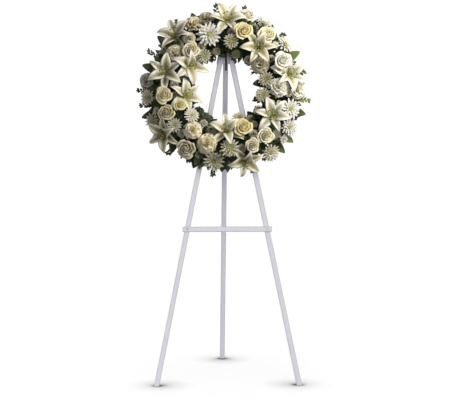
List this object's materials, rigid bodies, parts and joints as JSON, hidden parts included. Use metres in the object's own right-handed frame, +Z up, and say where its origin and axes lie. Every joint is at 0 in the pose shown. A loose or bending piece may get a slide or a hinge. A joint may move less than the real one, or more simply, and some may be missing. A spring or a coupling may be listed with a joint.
{
  "type": "funeral wreath on an easel",
  "caption": "Round memorial wreath of white and cream flowers in a foam ring, hung on a white wooden tripod easel whose rear leg folds.",
  "frame": {"origin": "on the floor, under the middle of the whole object's box", "axes": "+Z up, +X to the viewer's right, +Y from the wreath's face towards the rear leg"},
  "size_m": [0.612, 0.5483, 1.3285],
  "materials": {
    "white_paint": "satin",
    "dark_steel": "satin",
    "zinc": "satin",
    "tray_plastic": "satin",
    "foam": "matte",
    "rose_petals": "matte",
    "carnation_petals": "matte",
    "chrysanthemum_petals": "matte",
    "lily_petals": "satin",
    "leaves": "satin"
  },
  "bodies": {
    "frame": {"front_leg_left": "white_paint", "front_leg_right": "white_paint", "crossbar": "white_paint", "head_block": "white_paint", "hanger_hook": "dark_steel", "hinge_fork": "zinc", "hinge_bolt": "zinc", "crossbar_nail_left": "zinc", "crossbar_nail_right": "zinc", "head_screw_left": "zinc", "head_screw_right": "zinc", "foam_tray": "tray_plastic", "foam_ring": "foam", "rose_1": "rose_petals", "rose_2": "rose_petals", "rose_3": "rose_petals", "rose_4": "rose_petals", "rose_5": "rose_petals", "rose_6": "rose_petals", "rose_7": "rose_petals", "rose_8": "rose_petals", "rose_9": "rose_petals", "rose_10": "rose_petals", "rose_11": "rose_petals", "rose_12": "rose_petals", "carnation_1": "carnation_petals", "carnation_2": "carnation_petals", "carnation_3": "carnation_petals", "carnation_4": "carnation_petals", "carnation_5": "carnation_petals", "carnation_6": "carnation_petals", "carnation_7": "carnation_petals", "chrysanthemum_1": "chrysanthemum_petals", "chrysanthemum_2": "chrysanthemum_petals", "chrysanthemum_3": "chrysanthemum_petals", "chrysanthemum_4": "chrysanthemum_petals", "chrysanthemum_5": "chrysanthemum_petals", "chrysanthemum_6": "chrysanthemum_petals", "chrysanthemum_7": "chrysanthemum_petals", "chrysanthemum_8": "chrysanthemum_petals", "chrysanthemum_9": "chrysanthemum_petals", "chrysanthemum_10": "chrysanthemum_petals", "lily_1": "lily_petals", "lily_2": "lily_petals", "lily_3": "lily_petals", "lily_4": "lily_petals", "lily_5": "lily_petals", "lily_6": "lily_petals", "lily_7": "lily_petals", "lily_8": "lily_petals", "lily_9": "lily_petals", "lily_10": "lily_petals", "lily_11": "lily_petals", "greenery_outer_1": "leaves", "greenery_outer_2": "leaves", "greenery_outer_3": "leaves", "greenery_inner_1": "leaves", "greenery_inner_2": "leaves", "greenery_inner_3": "leaves"},
    "rear_leg": {"rear_leg": "white_paint"}
  },
  "joints": [
    {"name": "rear_leg_fold", "type": "hinge", "parent": "frame", "child": "rear_leg", "pos_m": [0.009, -0.05075, 1.13681], "axis": [-1, 0, 0], "range_deg": [0, 24]}
  ]
}
